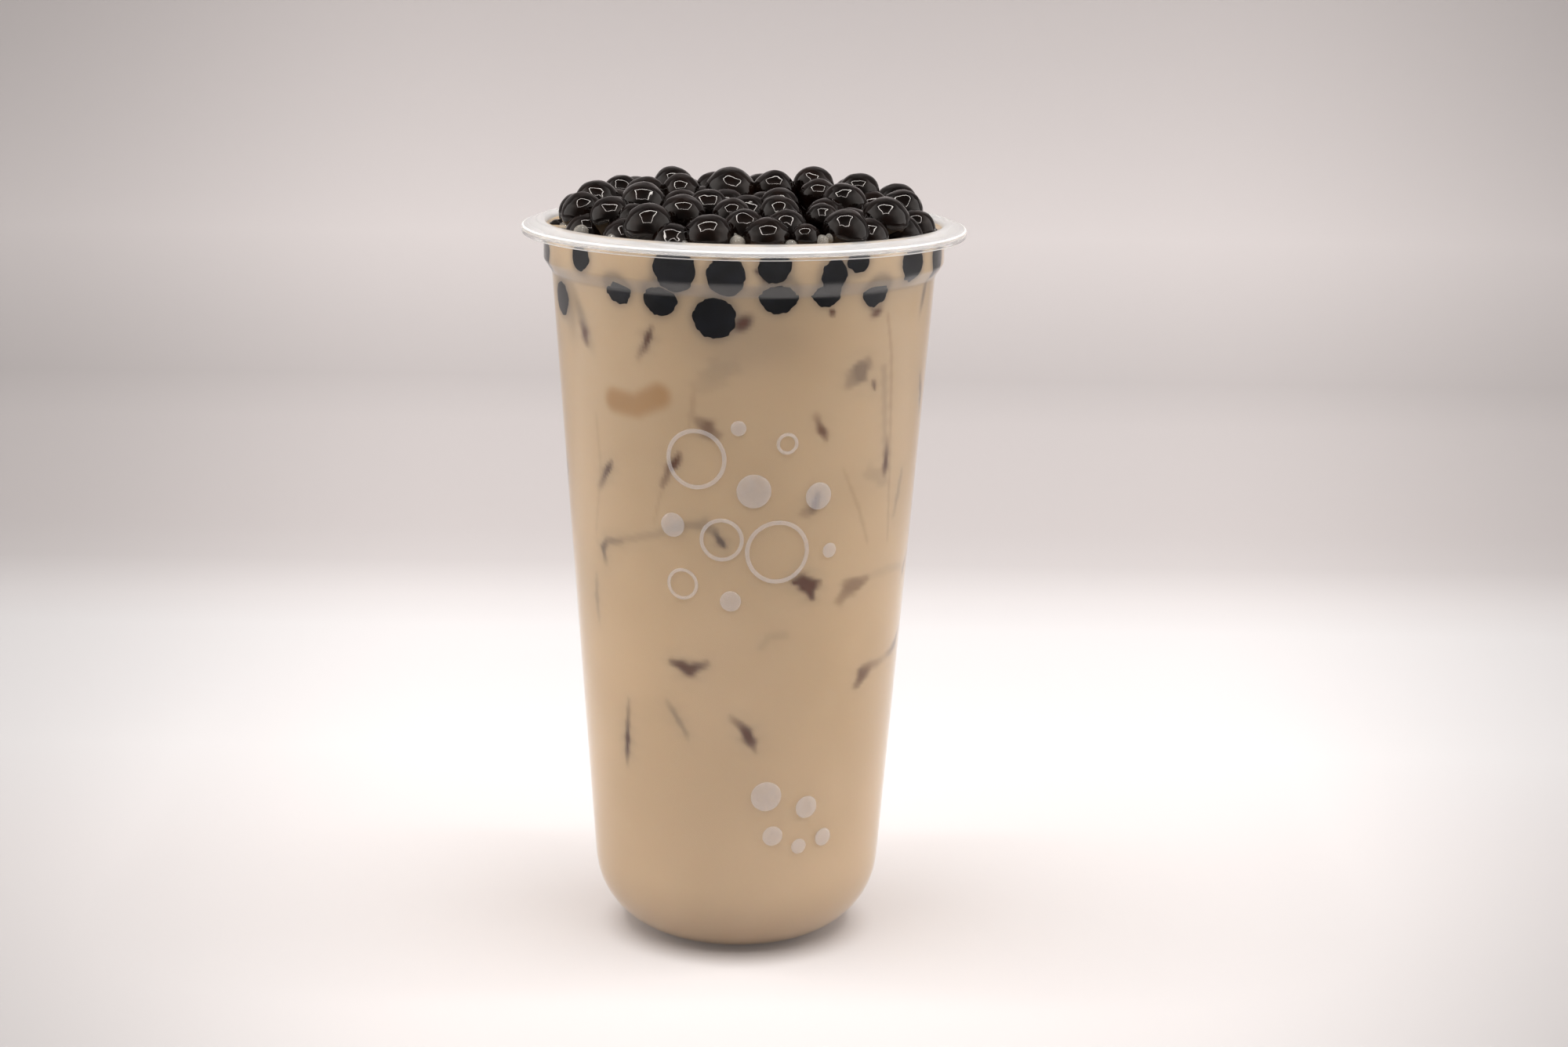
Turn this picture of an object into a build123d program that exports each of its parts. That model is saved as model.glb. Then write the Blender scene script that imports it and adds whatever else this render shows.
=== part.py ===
from build123d import *
import math
import os

# Bubble tea in its clear plastic cup: the moulded cup, the milk tea that fills it nearly to the brim,
# and the heap of tapioca pearls that stands out of the tea. Millimetres, +Z up, and the origin is the
# middle of the cup's flat base.

# ---- Cup: one injection-moulded piece, the same all round its axis --------------------------------
rim_height = 158.0  # the mouth's edge above the base
mouth_radius = 42.3  # inside of the collar
wall = 0.6
floor_thickness = 0.9

collar_height = 8.2  # the upright band under the mouth's edge
ledge_rise = 2.7  # height of the stacking ledge below it
ledge_step = 1.8  # how far the ledge steps in to the top of the tapered wall
ledge_rounding = 1.6
taper = 11.0  # what the radius loses from the ledge down to the table
foot_rounding = 18.0  # the large round corner between wall and base

flange_width = 4.6  # sealing flange, from the outside of the collar to its edge
flange_fall = 1.2  # its top slopes down outwards by this much
flange_thickness = 0.9
flange_rounding = 0.35
lip_drop = 1.7  # the flange's turned-down lip, from its outer top edge to its lower edge
lip_thickness = 0.8
mouth_rounding = 1.0  # between the flange's top and the inside of the collar

# ---- Milk tea -------------------------------------------------------------------------------------
tea_gap = 1.8  # the tea's surface lies this far below the mouth's edge

# ---- Heap of pearls -------------------------------------------------------------------------------
pearl_diameter = 9.6  # a middling cooked pearl
pearl_to_cup = 0.4  # least gap between a pearl and the inside of the collar
filler_spacing = 8.8  # between the middles of the pearls that fill the heap from below
filler_height = 0.20  # their height over the tea at the collar, in parts of the middling pearl
filler_dome = 0.26  # and how much higher they lie at the middle of the mouth
filler_clearance = 4.8  # a filler is left out where the middle of a shown pearl is nearer than this
core_rise = 5.4  # the packed middle of the heap, over the tea
core_shoulder = 1.0  # its height at the edge, from where it slopes up
core_slope = 11.0  # the width of that slope
core_rounding = 6.0
core_sunk = 3.4  # its depth below the tea's surface
core_to_cup = 5.0  # gap between it and the collar

# The pearls that show, in rows from the front of the mouth to the back. Back and across are in parts of
# the mouth's radius. Height is of the pearl's middle over the tea, and height and size are both in
# parts of the middling pearl.
pearl_rows = [
    # (back, [(across, height, size), ...])
    (-0.82, [(-0.44, 0.05, 0.95), (-0.17, 0.18, 1.05), (0.11, 0.14, 1.02), (0.29, 0.20, 0.66)]),
    (-0.75, [(-0.64, 0.04, 0.98), (-0.47, 0.33, 1.06), (0.50, 0.30, 1.00), (0.68, 0.14, 0.86)]),
    (-0.57, [(-0.30, 0.50, 0.98), (-0.06, 0.48, 0.88), (0.17, 0.52, 0.94), (0.38, 0.48, 0.74)]),
    (-0.48, [(-0.84, 0.04, 0.90), (-0.65, 0.42, 0.91), (0.69, 0.45, 1.00), (0.84, 0.10, 0.90)]),
    (-0.32, [(-0.80, 0.45, 0.88), (-0.50, 0.64, 0.98), (-0.18, 0.56, 0.89), (0.17, 0.60, 0.89)]),
    (-0.28, [(0.49, 0.67, 0.96), (0.86, 0.16, 0.86)]),
    (-0.10, [(-0.74, 0.56, 0.97), (0.37, 0.76, 0.80), (0.79, 0.48, 0.91)]),
    (0.02, [(-0.50, 0.60, 0.97), (-0.32, 0.72, 0.88), (-0.07, 0.76, 1.12), (0.15, 0.82, 0.90)]),
    (0.12, [(-0.84, 0.20, 0.92), (0.35, 0.88, 0.90), (0.58, 0.76, 0.88)]),
    (0.26, [(-0.63, 0.62, 0.80), (-0.37, 0.78, 0.90), (-0.15, 0.68, 0.90), (0.78, 0.44, 0.94)]),
    (0.40, [(-0.80, 0.28, 0.90), (0.08, 0.66, 0.98), (0.30, 0.62, 0.86), (0.56, 0.56, 1.02)]),
    (0.58, [(-0.58, 0.44, 1.00), (-0.30, 0.50, 0.92), (-0.05, 0.54, 0.98), (0.72, 0.18, 0.90)]),
    (0.68, [(0.20, 0.40, 0.94), (0.44, 0.36, 0.90)]),
    (0.82, [(-0.42, 0.14, 0.94), (-0.18, 0.20, 1.00), (0.06, 0.10, 0.90), (0.30, 0.12, 1.02)]),
]

# ---- Sizes that follow ----------------------------------------------------------------------------
collar_radius = mouth_radius + wall
collar_base = rim_height - collar_height
ledge_height = collar_base - ledge_rise
ledge_radius = collar_radius - ledge_step
foot_radius = ledge_radius - taper
flange_radius = collar_radius + flange_width
flange_edge_height = rim_height - flange_fall
tea_level = rim_height - tea_gap


def wall_radius(height):
    """Outer radius of the tapered wall at a height above the base."""
    return foot_radius + taper * height / ledge_height


def turned(outline):
    """A solid turned about the upright axis from corners given as (radius, height, rounding)."""
    corners = [(radius, 0, height) for radius, height, _ in outline]
    face = make_face(Polyline(*corners, close=True)).face()
    for (_, _, rounding), corner in zip(outline, corners):
        if rounding:
            vertex = face.vertices().sort_by_distance(corner)[0]
            face = face.fillet_2d(rounding, [vertex])
    return revolve(face, Axis.Z).solid()


# The two surfaces of the shell, each from the middle of the base outwards and up to the collar.
outside = [
    (0, 0, 0),
    (foot_radius, 0, foot_rounding),
    (ledge_radius, ledge_height, ledge_rounding),
    (collar_radius, collar_base, ledge_rounding),
]
inside = [
    (0, floor_thickness, 0),
    (wall_radius(floor_thickness) - wall, floor_thickness, foot_rounding - wall),
    (ledge_radius - wall, ledge_height, ledge_rounding),
    (mouth_radius, collar_base, ledge_rounding),
]


def make_cup():
    """The shell with its stacking ledge, collar, and sealing flange with a turned-down lip."""
    lip_inside = flange_radius - lip_thickness
    lip_bottom = flange_edge_height - lip_drop
    flange = [
        (collar_radius, rim_height - flange_thickness - flange_rounding, flange_rounding),
        (lip_inside, flange_edge_height - flange_thickness, flange_rounding),
        (lip_inside, lip_bottom, 0),
        (flange_radius, lip_bottom, flange_rounding),
        (flange_radius, flange_edge_height, flange_rounding),
        (collar_radius + mouth_rounding, rim_height, mouth_rounding),
        (mouth_radius, rim_height, mouth_rounding),
    ]
    return turned(outside + flange + inside[::-1])


def make_filling():
    """What fills the cup, level with the tea's surface."""
    return turned(inside + [(mouth_radius, tea_level, 0), (0, tea_level, 0)])


def place_pearl(across, back, height, size):
    """A pearl's middle and radius, moved inwards where it would touch the collar."""
    radius = size * pearl_diameter / 2
    reach = min(math.hypot(across, back) * mouth_radius, mouth_radius - pearl_to_cup - radius)
    turn = math.atan2(back, across)
    middle = Vector(reach * math.cos(turn), reach * math.sin(turn), tea_level + height * pearl_diameter)
    return middle, radius


def uneven(number):
    """A settled value between -1 and 1 that differs from one number to the next."""
    return math.sin(number * 12.9898) * math.cos(number * 4.1414)


def place_fillers(shown):
    """The pearls of the layer below, on staggered rows, wherever a shown pearl leaves them room."""
    furthest = 0.9  # in parts of the mouth's radius
    fillers = []
    row_step = filler_spacing * math.sqrt(3) / 2
    rows = math.ceil(mouth_radius / row_step)
    for row in range(-rows, rows + 1):
        for column in range(-rows - 1, rows + 2):
            number = 50 * row + column
            x = (column + 0.5 * (row % 2)) * filler_spacing + 0.8 * uneven(number)
            y = row * row_step + 0.8 * uneven(number + 7)
            out = math.hypot(x, y) / mouth_radius
            if out > furthest:
                continue
            height = filler_height + filler_dome * (1 - out**2)
            size = 0.94 + 0.06 * uneven(number + 3)
            middle, radius = place_pearl(x / mouth_radius, y / mouth_radius, height, size)
            nearest = min(math.hypot(middle.X - other.X, middle.Y - other.Y) for other, _ in shown)
            if nearest > filler_clearance:
                fillers.append((middle, radius))
    return fillers


def make_heap():
    """The packed middle of the heap, flat on top, with the pearls that show grown into it."""
    edge = mouth_radius - core_to_cup
    bottom = tea_level - core_sunk
    top = tea_level + core_rise
    core = turned(
        [
            (0, bottom, 0),
            (edge, bottom, 0),
            (edge, tea_level + core_shoulder, 0),
            (edge - core_slope, top, core_rounding),
            (0, top, 0),
        ]
    )
    shown = [
        place_pearl(across, back, height, size)
        for back, row in pearl_rows
        for across, height, size in row
    ]
    # Each ball is turned, so that its seam and poles lie along no face that it meets.
    pearls = [
        Pos(*middle) * Rot(35, 50, 0) * Sphere(radius)
        for middle, radius in shown + place_fillers(shown)
    ]
    return core.fuse(*pearls).solid()


cup = make_cup()
pearl_heap = make_heap()
milk_tea = make_filling() - pearl_heap

os.makedirs("parts", exist_ok=True)
export_step(cup, "parts/cup.step")
export_step(milk_tea, "parts/milk_tea.step")
export_step(pearl_heap, "parts/pearl_heap.step")
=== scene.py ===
import math
import random

import bpy
import numpy as np
from mathutils import Matrix, Vector, noise


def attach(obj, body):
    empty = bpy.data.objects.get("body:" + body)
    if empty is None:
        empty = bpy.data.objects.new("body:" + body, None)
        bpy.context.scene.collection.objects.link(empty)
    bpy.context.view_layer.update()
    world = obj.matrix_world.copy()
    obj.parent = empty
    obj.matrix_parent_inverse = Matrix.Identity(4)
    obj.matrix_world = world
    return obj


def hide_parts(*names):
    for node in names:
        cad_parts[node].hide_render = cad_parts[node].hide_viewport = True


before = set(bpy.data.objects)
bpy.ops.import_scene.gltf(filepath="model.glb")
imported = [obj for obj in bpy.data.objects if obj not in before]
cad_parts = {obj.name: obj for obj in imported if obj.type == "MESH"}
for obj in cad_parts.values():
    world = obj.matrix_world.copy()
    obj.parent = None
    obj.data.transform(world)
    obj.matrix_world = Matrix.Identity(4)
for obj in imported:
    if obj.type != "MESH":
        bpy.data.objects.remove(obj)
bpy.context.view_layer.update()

# ---- The cup ----------------------------------------------------------------------------------------
# One injection-moulded polypropylene cup, clear and a little hazy: a rounded base, a tapered wall, a
# stacking ledge, an upright collar, and a wide flange for the sealing film with a turned-down lip.
mm = 0.001
rim_height = 158.0
mouth_radius = 42.3
wall = 0.6
floor_thickness = 0.9
collar_height = 8.2
ledge_rise = 2.7
ledge_step = 1.8
ledge_rounding = 1.6
taper = 11.0
foot_rounding = 18.0
flange_width = 4.6
flange_fall = 1.2
flange_thickness = 0.9
lip_drop = 1.7
lip_thickness = 0.8
flange_rounding = 0.35
bead_height = 0.12

collar_radius = mouth_radius + wall
collar_base = rim_height - collar_height
ledge_height = collar_base - ledge_rise
ledge_radius = collar_radius - ledge_step
foot_radius = ledge_radius - taper
flange_radius = collar_radius + flange_width
flange_edge = rim_height - flange_fall


def wall_radius(height):
    """Outer radius of the straight wall at a height."""
    return foot_radius + taper * height / ledge_height


def rounded(corners, longest=3.0, arc_step=9):
    """The (radius, height) points of an outline given as (radius, height, rounding) corners."""
    points = []
    for index, (radius, height, rounding) in enumerate(corners):
        here = Vector((radius, height))
        if not rounding:
            points.append(here)
            continue
        back = (Vector(corners[index - 1][:2]) - here).normalized()
        ahead = (Vector(corners[index + 1][:2]) - here).normalized()
        half = back.angle(ahead) / 2
        middle = here + (back + ahead).normalized() * (rounding / math.sin(half))
        start = here + back * (rounding / math.tan(half)) - middle
        end = here + ahead * (rounding / math.tan(half)) - middle
        turn = math.atan2(start.x * end.y - start.y * end.x, start.dot(end))
        steps = max(2, math.ceil(abs(math.degrees(turn)) / arc_step))
        for step in range(steps + 1):
            arm = start.copy()
            arm.rotate(Matrix.Rotation(turn * step / steps, 2))
            points.append(middle + arm)
    line = [points[0]]
    for point in points[1:]:
        first = line[-1]
        pieces = max(1, math.ceil((point - first).length / longest))
        line += [first.lerp(point, piece / pieces) for piece in range(1, pieces + 1)]
    return line


def deselect():
    if bpy.context.object and bpy.context.object.mode == "EDIT":
        bpy.ops.object.mode_set(mode="OBJECT")
    bpy.ops.object.select_all(action="DESELECT")


def lathe(name, line, steps):
    """Turns a line of (radius, height) points in millimetres about the upright axis."""
    deselect()
    bpy.ops.mesh.primitive_plane_add(size=mm)
    piece = bpy.context.object
    piece.name = name
    piece.data.name = name
    bpy.ops.object.mode_set(mode="EDIT")
    bpy.ops.mesh.merge(type="CENTER")
    bpy.ops.transform.translate(value=(line[0].x * mm, 0, line[0].y * mm))
    for before, point in zip(line, line[1:]):
        shift = (point - before) * mm
        bpy.ops.mesh.extrude_region_move(TRANSFORM_OT_translate={"value": (shift.x, 0, shift.y)})
    bpy.ops.mesh.select_all(action="SELECT")
    bpy.ops.mesh.spin(steps=steps, angle=math.tau, center=(0, 0, 0), axis=(0, 0, 1))
    bpy.ops.mesh.select_all(action="SELECT")
    bpy.ops.mesh.remove_doubles(threshold=2e-6)
    bpy.ops.mesh.normals_make_consistent(inside=False)
    bpy.ops.object.mode_set(mode="OBJECT")
    bpy.ops.object.shade_smooth_by_angle(angle=math.radians(40))
    return piece


class Value:
    """A shader socket that takes part in arithmetic: every operation adds its Math node."""

    def __init__(self, tree, socket):
        self.tree = tree
        self.socket = socket

    def maths(self, operation, *others):
        return node(self.tree, "ShaderNodeMath", {"operation": operation}, [self, *others])

    def __add__(self, other):
        return self.maths("ADD", other)

    def __sub__(self, other):
        return self.maths("SUBTRACT", other)

    def __mul__(self, other):
        return self.maths("MULTIPLY", other)

    def __rsub__(self, other):
        return node(self.tree, "ShaderNodeMath", {"operation": "SUBTRACT"}, [other, self])

    __radd__ = __add__
    __rmul__ = __mul__

    def over(self, low, high, to_low=0.0, to_high=1.0):
        """Passes smoothly from to_low to to_high as this goes from low to high."""
        settings = {"interpolation_type": "SMOOTHSTEP"}
        return node(self.tree, "ShaderNodeMapRange", settings, [self, low, high, to_low, to_high])


def node(tree, kind, settings=None, inputs=None, output=0):
    """Adds a node: its settings first, then its sockets by name or order, and gives one output."""
    added = tree.nodes.new(kind)
    for name, value in (settings or {}).items():
        if name == "stops":
            ramp = added.color_ramp
            while len(ramp.elements) < len(value):
                ramp.elements.new(0.5)
            for element, (place, colour) in zip(ramp.elements, value):
                element.position = place
                element.color = (*colour, 1)
        else:
            setattr(added, name, value)
    pairs = enumerate(inputs) if isinstance(inputs, list) else (inputs or {}).items()
    for key, value in pairs:
        socket = added.inputs[key]
        if isinstance(value, Value):
            tree.links.new(value.socket, socket)
        elif isinstance(value, tuple) and socket.type == "RGBA":
            socket.default_value = (*value, 1)
        else:
            socket.default_value = value
    return Value(tree, added.outputs[output]) if added.outputs else None


def mixed(tree, factor, first, second):
    """A colour that goes from the first to the second as the factor goes from 0 to 1."""
    settings = {"data_type": "RGBA"}
    return node(tree, "ShaderNodeMix", settings, {0: factor, 6: first, 7: second}, output=2)


def new_material(name):
    material = bpy.data.materials.new(name)
    material.use_nodes = True
    material.node_tree.nodes.clear()
    return material, material.node_tree


def finish_material(tree, shader):
    node(tree, "ShaderNodeOutputMaterial", {}, {"Surface": shader})


shell = [
    (0, 0, 0),
    (foot_radius, 0, foot_rounding),
    (ledge_radius, ledge_height, ledge_rounding),
    (collar_radius, collar_base, ledge_rounding),
    (collar_radius, rim_height - flange_thickness - flange_rounding, flange_rounding),
    (flange_radius - lip_thickness, flange_edge - flange_thickness, 0.3),
    (flange_radius - lip_thickness, flange_edge - lip_drop, 0.15),
    (flange_radius, flange_edge - lip_drop, flange_rounding),
    (flange_radius, flange_edge, 0.45),
    (flange_radius - 0.9, flange_edge + 0.3, 0.2),
    (flange_radius - 1.2, flange_edge + 0.3 + bead_height, 0.1),
    (flange_radius - 1.5, flange_edge + 0.45, 0.2),
    (collar_radius + 1.7, rim_height - 0.2, 0.3),
    (collar_radius + 1.4, rim_height, 0.3),
    (mouth_radius, rim_height, 1.0),
    (mouth_radius, collar_base, ledge_rounding),
    (ledge_radius - wall, ledge_height, ledge_rounding),
    (wall_radius(floor_thickness) - wall, floor_thickness, foot_rounding - wall),
    (0, floor_thickness, 0),
]
cup = lathe("cup_shell", rounded(shell), 256)

plastic, tree = new_material("clear_plastic")
place = node(tree, "ShaderNodeTexCoord", output=3)
height = node(tree, "ShaderNodeSeparateXYZ", {}, [place], output=2)
across = node(tree, "ShaderNodeSeparateXYZ", {}, [place], output=0)
along = node(tree, "ShaderNodeSeparateXYZ", {}, [place], output=1)
out = (across * across + along * along).maths("SQRT")
waves = node(tree, "ShaderNodeTexNoise", {}, {"Vector": place, "Scale": 60.0, "Detail": 2.0})
relief = node(tree, "ShaderNodeBump", {}, {"Strength": 0.1, "Distance": 0.0004, "Height": waves})
clear = node(
    tree,
    "ShaderNodeBsdfPrincipled",
    {},
    {
        "Base Color": (0.98, 0.985, 0.99),
        "Roughness": 0.06,
        "IOR": 1.49,
        "Transmission Weight": 1.0,
        "Normal": relief,
    },
)
haze_and_highlight_shader = node(
    tree, "ShaderNodeBsdfPrincipled", {}, {"Base Color": (0.93, 0.91, 0.89), "Roughness": 0.35}
)
# The plastic is cloudier where it is thick: at the flange and the ledge. The two bright lines along the
# lip's edges are painted highlights, a strong whitish haze laid on those edges.
flange_haze = height.over(0.1556, 0.1563, 0.0, 0.26)
ledge_haze = height.over(0.1464, 0.1472, 0.0, 0.09) - height.over(0.1488, 0.1500, 0.0, 0.08)
# Painted highlights: two bright lines of whitish haze along the lip's top and bottom edges.
lip_highlight_lines = height.over(0.15655, 0.15675) + height.over(0.15525, 0.1554, 1.0, 0.0)
painted_lip_highlights = out.over(0.0470, 0.0472, 0.0, 0.8) * lip_highlight_lines
haze_and_lip_highlights = flange_haze + ledge_haze + painted_lip_highlights + 0.003
hazy_and_highlighted = node(tree, "ShaderNodeMixShader", {}, [haze_and_lip_highlights, clear, haze_and_highlight_shader])
lit = node(tree, "ShaderNodeBsdfTransparent", {}, {"Color": (0.96, 0.96, 0.96)})
shadow = node(tree, "ShaderNodeLightPath", output=1)
finish_material(tree, node(tree, "ShaderNodeMixShader", {}, [shadow, hazy_and_highlighted, lit]))
cup.data.materials.append(plastic)
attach(cup, "root")
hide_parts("cup")

# ---- The pearls of the heap -----------------------------------------------------------------------
# Cooked tapioca pearls, nearly black and wet with syrup, heaped out of the tea a little over the
# mouth's edge. Each is a soft, slightly lumpy ball of its own size.
tea_gap = 1.8
tea_level = rim_height - tea_gap
pearl_diameter = 9.6
pearl_to_cup = 0.4
filler_spacing = 8.8
filler_height = 0.20
filler_dome = 0.26
filler_clearance = 4.8
filler_reach = 0.9
swelling = 1.05
pearl_rows = [
    # (back, [(across, height, size), ...])
    (-0.82, [(-0.34, 0.02, 0.95), (-0.17, 0.18, 1.05), (0.11, 0.14, 1.02), (0.29, 0.20, 0.66)]),
    (-0.75, [(-0.64, 0.04, 0.98), (-0.47, 0.33, 1.06), (0.50, 0.30, 1.00), (0.68, 0.14, 0.86)]),
    (-0.57, [(-0.30, 0.50, 0.98), (-0.06, 0.48, 0.88), (0.17, 0.52, 0.94), (0.38, 0.48, 0.74)]),
    (-0.48, [(-0.84, 0.04, 0.90), (-0.65, 0.42, 0.91), (0.69, 0.45, 1.00), (0.84, 0.10, 0.90)]),
    (-0.32, [(-0.80, 0.45, 0.88), (-0.50, 0.64, 0.98), (-0.18, 0.56, 0.89), (0.17, 0.60, 0.89)]),
    (-0.28, [(0.49, 0.67, 0.96), (0.86, 0.16, 0.86)]),
    (-0.10, [(-0.74, 0.56, 0.97), (0.37, 0.76, 0.80), (0.79, 0.48, 0.91)]),
    (0.02, [(-0.50, 0.60, 0.97), (-0.32, 0.72, 0.88), (-0.07, 0.76, 1.12), (0.15, 0.82, 0.90)]),
    (0.12, [(-0.84, 0.20, 0.92), (0.35, 0.88, 0.90), (0.58, 0.76, 0.88)]),
    (0.26, [(-0.63, 0.62, 0.80), (-0.37, 0.78, 0.90), (-0.15, 0.68, 0.90), (0.78, 0.44, 0.94)]),
    (0.40, [(-0.80, 0.20, 0.90), (0.08, 0.54, 0.98), (0.30, 0.50, 0.86), (0.56, 0.46, 1.02)]),
    (0.58, [(-0.58, 0.34, 1.00), (-0.30, 0.36, 0.92), (-0.05, 0.40, 0.98), (0.72, 0.08, 0.90)]),
    (0.68, [(0.20, 0.26, 0.94), (0.44, 0.24, 0.90)]),
    (0.82, [(-0.42, 0.06, 0.94), (-0.18, 0.08, 1.00), (0.06, 0.02, 0.90), (0.30, 0.04, 1.02)]),
]


def place_pearl(across, back, height, size):
    """A pearl's middle and radius, moved inwards where it would touch the collar."""
    radius = size * pearl_diameter / 2
    reach = min(math.hypot(across, back) * mouth_radius, mouth_radius - pearl_to_cup - radius)
    turn = math.atan2(back, across)
    middle = Vector((reach * math.cos(turn), reach * math.sin(turn), tea_level + height * pearl_diameter))
    return middle, radius


def uneven(number):
    """A settled value between -1 and 1 that differs from one number to the next."""
    return math.sin(number * 12.9898) * math.cos(number * 4.1414)


def place_fillers(shown):
    """The pearls of the layer below, wherever a shown pearl leaves them room."""
    fillers = []
    row_step = filler_spacing * math.sqrt(3) / 2
    rows = math.ceil(mouth_radius / row_step)
    for row in range(-rows, rows + 1):
        for column in range(-rows - 1, rows + 2):
            number = 50 * row + column
            x = (column + 0.5 * (row % 2)) * filler_spacing + 0.8 * uneven(number)
            y = row * row_step + 0.8 * uneven(number + 7)
            out = math.hypot(x, y) / mouth_radius
            if out > filler_reach:
                continue
            height = filler_height + filler_dome * (1 - out**2)
            size = 0.94 + 0.06 * uneven(number + 3)
            middle, radius = place_pearl(x / mouth_radius, y / mouth_radius, height, size)
            if min((middle.xy - other.xy).length for other, _ in shown) > filler_clearance:
                fillers.append((middle, radius))
    return fillers


deselect()
bpy.ops.mesh.primitive_ico_sphere_add(subdivisions=4, radius=1)
plain_ball = bpy.context.object


def make_pearl(number, middle, radius):
    """A copy of the plain ball, lumpy in its own way and at its place, in millimetres."""
    ball = plain_ball.copy()
    ball.data = plain_ball.data.copy()
    bpy.context.scene.collection.objects.link(ball)
    spot = Vector((number * 3.7, number * 1.9, number * 5.3))
    turn = Matrix.Rotation(number * 2.4, 3, Vector((1, number % 3, 2)).normalized())
    for vertex in ball.data.vertices:
        way = turn @ vertex.co.normalized()
        lump = 0.055 * noise.noise(way * 1.1 + spot) + 0.024 * noise.noise(way * 2.6 + spot)
        vertex.co = (middle + Vector((way.x, way.y, way.z * 0.97)) * radius * (1 + lump)) * mm
    return ball


def joined(name, pieces):
    """Joins pieces into one."""
    deselect()
    for piece in pieces:
        piece.select_set(True)
    bpy.context.view_layer.objects.active = pieces[0]
    bpy.ops.object.join()
    pieces[0].name = name
    pieces[0].data.name = name
    bpy.ops.object.shade_smooth()
    return pieces[0]


shown = [
    place_pearl(across, back, height, size)
    for back, row in pearl_rows
    for across, height, size in row
]
# Soft as they are, the pearls press a little into each other.
heap = [(middle, radius * swelling) for middle, radius in shown + place_fillers(shown)]
pearls = joined("heap_pearls", [make_pearl(number, *pearl) for number, pearl in enumerate(heap)])

tapioca, tree = new_material("tapioca")
place = node(tree, "ShaderNodeTexCoord", output=3)
mottle = node(tree, "ShaderNodeTexNoise", {}, {"Vector": place, "Scale": 240.0, "Detail": 3.0})
colour = mixed(tree, mottle.over(0.4, 0.75), (0.0022, 0.001, 0.0008), (0.0075, 0.003, 0.0018))
fine = node(tree, "ShaderNodeTexNoise", {}, {"Vector": place, "Scale": 380.0, "Detail": 1.0})
relief = node(tree, "ShaderNodeBump", {}, {"Strength": 0.4, "Distance": 0.0005, "Height": fine})
syrup = node(
    tree,
    "ShaderNodeBsdfPrincipled",
    {},
    {
        "Base Color": colour,
        "Roughness": 0.06,
        "IOR": 1.42,
        "Specular IOR Level": 0.45,
        "Specular Tint": (1.0, 0.92, 0.86),
        "Normal": relief,
    },
)
finish_material(tree, syrup)
pearls.data.materials.append(tapioca)
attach(pearls, "root")

# The middle of the heap, built here in place of the imported one, out of sight between the pearls,
# reaches down into the tea.
core_sunk = 3.0
core_rise = 3.8
core_to_collar = 5.6
core = lathe(
    "heap_core",
    rounded(
        [
            (0, tea_level - core_sunk, 0),
            (mouth_radius - core_to_collar, tea_level - core_sunk, 0),
            (mouth_radius - core_to_collar - 1.0, tea_level + 0.2, 0.5),
            (mouth_radius - 17, tea_level + core_rise - 0.4, 5),
            (0, tea_level + core_rise, 0),
        ]
    ),
    96,
)
core.data.materials.append(tapioca)
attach(core, "root")
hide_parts("pearl_heap")

# ---- The pearls against the wall --------------------------------------------------------------------
# Pearls that sank to the mouth of the cup and lie against its inside, pressed flat where they touch
# the plastic. Behind the front ones the same band goes on round the cup.
into_wall = 0.06
foot_top = 24.0
body = [
    (0, floor_thickness - into_wall, 0),
    (wall_radius(floor_thickness) - wall + into_wall, floor_thickness - into_wall, foot_rounding - wall),
    (wall_radius(foot_top) - wall + into_wall, foot_top, 0),
    (ledge_radius - wall + into_wall, ledge_height, ledge_rounding),
    (mouth_radius + into_wall, collar_base, ledge_rounding),
    (mouth_radius + into_wall, tea_level + 0.6, 0),
    (mouth_radius - 0.3, tea_level + 0.25, 0),
    (mouth_radius - 1.0, tea_level, 0),
    (0, tea_level, 0),
]
# Only the wall carries marks, so only the wall is finely divided.
tea_line = rounded(body[:3])
tea_line += rounded(body[2:-1], longest=0.75)[1:]
tea_line += rounded(body[-2:])[1:]


def tea_edge(height):
    """The radius that the tea reaches at a height, in millimetres."""
    for low, high in zip(tea_line, tea_line[1:]):
        if low.y <= height <= high.y:
            return low.lerp(high, (height - low.y) / (high.y - low.y)).x
    return mouth_radius + into_wall


def pressed(piece, proud=0.06):
    """Flattens a piece where it would pass the tea's edge: just proud of it, or behind it if negative."""
    for vertex in piece.data.vertices:
        spot = vertex.co / mm
        out = math.hypot(spot.x, spot.y)
        limit = tea_edge(spot.z) + proud
        if out > limit:
            vertex.co.x *= limit / out
            vertex.co.y *= limit / out
    return piece


wall_pearls = [
    # (turn from the front in degrees, height, radius, radius of the flat)
    (-52, 152.7, 3.3, 2.9),
    (-19.5, 152.4, 5.0, 4.5),
    (-5, 151.6, 4.6, 3.9),
    (8.5, 153.4, 4.0, 3.4),
    (33, 154.2, 3.4, 2.7),
    (25.5, 151.6, 4.0, 3.0),
    (24.5, 148.0, 4.0, 2.9),
    (55, 152.6, 5.0, 3.9),
    (72, 152.2, 4.8, 3.6),
    (-38.5, 147.2, 4.4, 3.0),
    (-24.5, 146.2, 4.6, 3.7),
    (10, 147.6, 4.8, 3.8),
    (41.5, 147.2, 4.6, 3.2),
    (-8.3, 142.7, 4.9, 4.4),
]
random.seed(7)
for turn in range(92, 292, 17):
    upper = turn + random.uniform(-5, 5)
    lower = turn + 8 + random.uniform(-4, 4)
    wall_pearls.append((upper, random.uniform(150.5, 153.5), 4.7, random.uniform(3.0, 4.2)))
    wall_pearls.append((lower, random.uniform(142.5, 147.5), 4.6, random.uniform(2.6, 4.1)))


def against_wall(turn, height, depth):
    """The point at a depth behind the tea's edge."""
    angle = math.radians(turn - 90)
    reach = tea_edge(height) - depth
    return Vector((reach * math.cos(angle), reach * math.sin(angle), height))


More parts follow.
